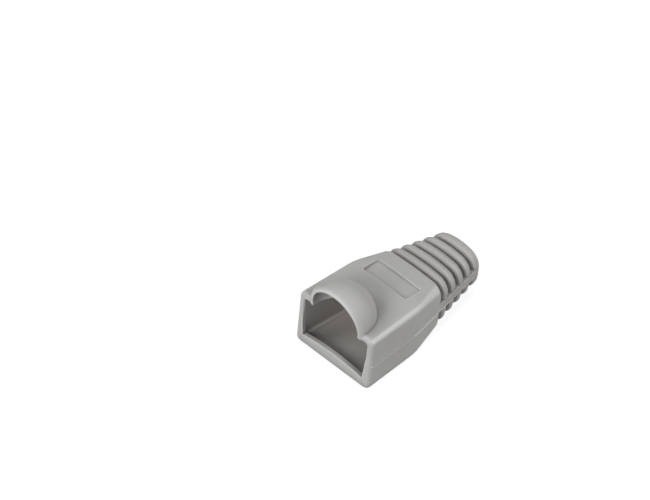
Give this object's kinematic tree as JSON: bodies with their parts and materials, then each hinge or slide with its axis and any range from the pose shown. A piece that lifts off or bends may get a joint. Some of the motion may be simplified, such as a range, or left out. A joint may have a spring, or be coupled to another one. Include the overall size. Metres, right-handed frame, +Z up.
{
  "type": "rj45 strain relief boot",
  "caption": "Soft one-piece boot for a modular network plug: open housing, domed latch hood, bare label recess and ribbed tapering cable neck.",
  "frame": {"origin": "under the middle of the boot's bounding box, on the flat bottom of the housing", "axes": "+X along the cable from the plug mouth to the cable exit, +Z up on the hood's side, +Y across"},
  "size_m": [0.0268, 0.0144, 0.0143],
  "materials": {
    "boot": "satin, soft light grey PVC"
  },
  "bodies": {
    "root": {"boot": "boot"}
  },
  "joints": []
}
